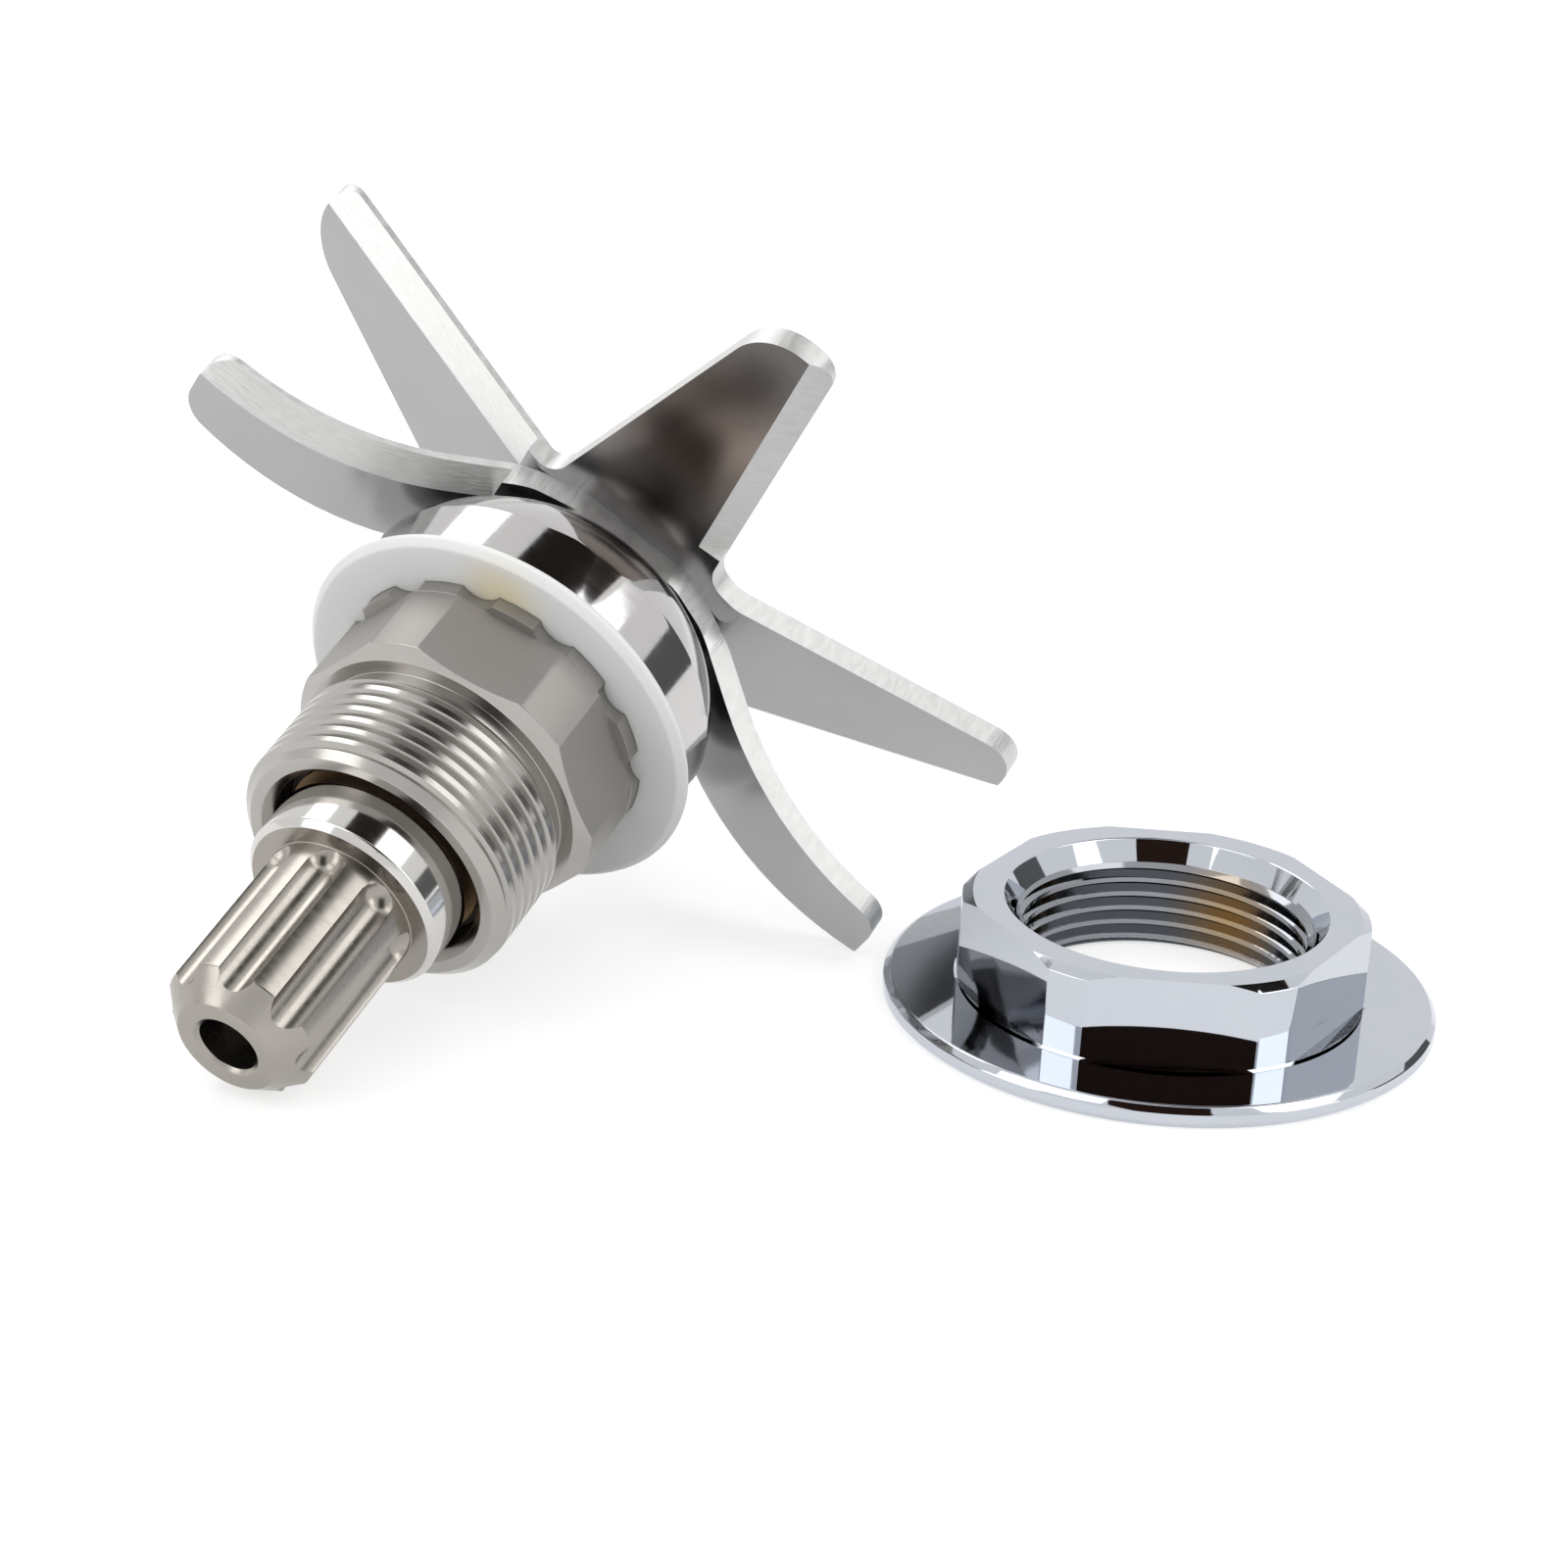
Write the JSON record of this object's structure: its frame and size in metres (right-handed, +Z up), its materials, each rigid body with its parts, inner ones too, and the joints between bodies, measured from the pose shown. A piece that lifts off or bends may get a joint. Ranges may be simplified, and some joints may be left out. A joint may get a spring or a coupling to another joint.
{
  "type": "blender blade assembly",
  "caption": "Jug blender blade assembly: bent blades on a splined shaft in a threaded bearing housing with a silicone gasket, and its flanged retaining nut beside it.",
  "frame": {"origin": "on the table, under the middle of everything as it lies", "axes": "+Z up from the table, +X to the right and +Y away as the picture's camera looks. The shaft rests on its splined end and two blade tips and rises away to the back right"},
  "size_m": [0.1224, 0.0845, 0.0651],
  "materials": {
    "housing_steel": "turned and part polished stainless steel",
    "gasket_silicone": "translucent white silicone, satin",
    "shaft_steel": "turned stainless steel, bright",
    "blade_steel": "satin faces with bright ground edges",
    "nut_chrome": "polished chrome plate",
    "bushing_bronze": "sintered bronze, oiled",
    "felt": "oil-soaked wool felt",
    "washer_fibre": "red fibre, matt",
    "washer_steel": "ground steel, satin",
    "seal_rubber": "black rubber, satin",
    "fastener_steel": "bright stainless steel"
  },
  "bodies": {
    "housing": {"bearing_housing": "housing_steel", "jar_gasket": "gasket_silicone", "retaining_nut": "nut_chrome", "lower_bushing": "bushing_bronze", "upper_bushing": "bushing_bronze", "oil_felt": "felt", "lower_fibre_washer": "washer_fibre", "upper_fibre_washer": "washer_fibre", "lip_seal": "seal_rubber", "seal_retaining_ring": "washer_steel"},
    "rotor": {"drive_shaft": "shaft_steel", "lower_steel_washer": "washer_steel", "upper_steel_washer": "washer_steel", "thrust_sleeve": "fastener_steel", "lower_blade": "blade_steel", "cross_blade": "blade_steel", "blade_washer": "fastener_steel", "spring_washer": "fastener_steel", "blade_cap_nut": "fastener_steel"}
  },
  "joints": [
    {"name": "shaft_spin", "type": "hinge", "parent": "housing", "child": "rotor", "pos_m": [-0.02952, 0.00076, 0.02411], "axis": [0.4303, 0.8232, 0.3704], "continuous": true}
  ]
}
